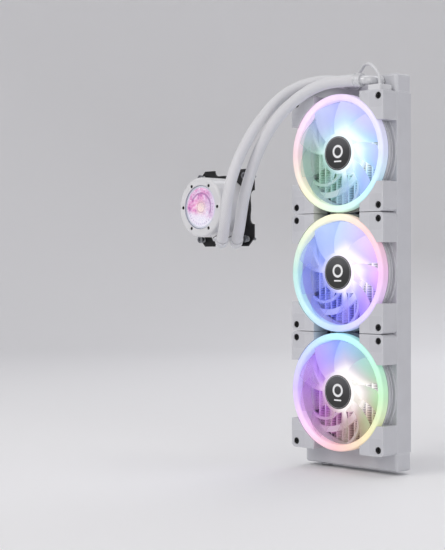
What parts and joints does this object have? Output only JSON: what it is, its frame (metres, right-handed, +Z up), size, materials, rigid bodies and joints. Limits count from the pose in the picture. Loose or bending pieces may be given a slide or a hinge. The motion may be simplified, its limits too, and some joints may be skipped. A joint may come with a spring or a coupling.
{
  "type": "liquid cooling radiator",
  "caption": "Closed-loop liquid cooler: tall radiator carrying lit fans in a column, two sleeved hoses and a round pump head with a display.",
  "frame": {"origin": "centre of the middle bay's four wall screw holes, on the radiator's back face", "axes": "+Z up along the radiator, towards the tank with the hoses; +Y out of the back face into the wall it is screwed to; the fans and the pump head face -Y; the pump head is on the -X side"},
  "size_m": [0.294, 0.1311, 0.4764],
  "materials": {
    "radiator_paint": "satin powder coat",
    "core_paint": "satin",
    "fan_plastic": "matte moulded",
    "ring_diffuser": "frosted, lit from behind",
    "blade_plastic": "frosted translucent",
    "badge": "satin",
    "pad_rubber": "matte",
    "circuit_board": "solder mask",
    "bearing_brass": "sintered",
    "lamination_steel": "laminated",
    "copper_wire": "enamelled wire",
    "black_screw": "black oxide",
    "steel": "machined",
    "seal_rubber": "matte",
    "stud_steel": "satin nickel",
    "lead_plastic": "matte",
    "pump_plastic": "fine satin",
    "display_glass": "polished",
    "display_panel": "lit display",
    "impeller_plastic": "moulded",
    "magnet": "ferrite",
    "copper": "ground copper",
    "bracket_black": "black coat",
    "fitting_paint": "satin",
    "hose_sleeve": "sleeved rubber"
  },
  "bodies": {
    "cooler": {"bottom_fan_frame": "fan_plastic", "bottom_light_ring": "ring_diffuser", "bottom_tank": "radiator_paint", "bracket_springs": "steel", "bracket_studs": "stud_steel", "cold_plate": "copper", "cold_plate_screws": "steel", "fan_bearings": "bearing_brass", "fan_corner_pads": "pad_rubber", "fan_driver_boards": "circuit_board", "fan_lead": "lead_plastic", "fan_lead_block": "lead_plastic", "fan_lead_plug": "lead_plastic", "fan_led_boards": "circuit_board", "fan_screws": "black_screw", "fan_stators": "lamination_steel", "fan_windings": "copper_wire", "fill_plug": "steel", "fin_banks": "core_paint", "flat_tubes": "core_paint", "front_hose": "hose_sleeve", "header_plates": "radiator_paint", "hose_ferrules": "fitting_paint", "middle_fan_frame": "fan_plastic", "middle_light_ring": "ring_diffuser", "pump_base": "impeller_plastic", "pump_base_seal": "seal_rubber", "pump_bracket": "bracket_black", "pump_control_board": "circuit_board", "pump_display_lens": "display_glass", "pump_display_panel": "display_panel", "pump_elbows": "fitting_paint", "pump_face_ring": "pump_plastic", "pump_face_screws": "black_screw", "pump_housing": "pump_plastic", "pump_impeller_shaft": "steel", "pump_stator": "lamination_steel", "rear_hose": "hose_sleeve", "sealing_rings": "seal_rubber", "side_channels": "radiator_paint", "tank_baffle": "radiator_paint", "tank_elbows": "fitting_paint", "top_fan_frame": "fan_plastic", "top_light_ring": "ring_diffuser", "top_tank": "radiator_paint"},
    "top_rotor": {"top_fan_rotor": "blade_plastic", "top_fan_magnet": "magnet", "top_fan_shaft": "steel", "top_fan_badge": "badge"},
    "middle_rotor": {"middle_fan_rotor": "blade_plastic", "middle_fan_magnet": "magnet", "middle_fan_shaft": "steel", "middle_fan_badge": "badge"},
    "bottom_rotor": {"bottom_fan_rotor": "blade_plastic", "bottom_fan_magnet": "magnet", "bottom_fan_shaft": "steel", "bottom_fan_badge": "badge"},
    "impeller": {"pump_impeller": "impeller_plastic", "pump_impeller_magnet": "magnet"}
  },
  "joints": [
    {"name": "top_fan_spin", "type": "hinge", "parent": "cooler", "child": "top_rotor", "pos_m": [0, -0.0395, 0.14], "axis": [0, -1, 0], "continuous": true},
    {"name": "middle_fan_spin", "type": "hinge", "parent": "cooler", "child": "middle_rotor", "pos_m": [0, -0.0395, 0], "axis": [0, -1, 0], "continuous": true},
    {"name": "bottom_fan_spin", "type": "hinge", "parent": "cooler", "child": "bottom_rotor", "pos_m": [0, -0.0395, -0.14], "axis": [0, -1, 0], "continuous": true},
    {"name": "impeller_spin", "type": "hinge", "parent": "cooler", "child": "impeller", "pos_m": [-0.176, -0.0695, 0.0805], "axis": [0, -1, 0], "continuous": true}
  ]
}
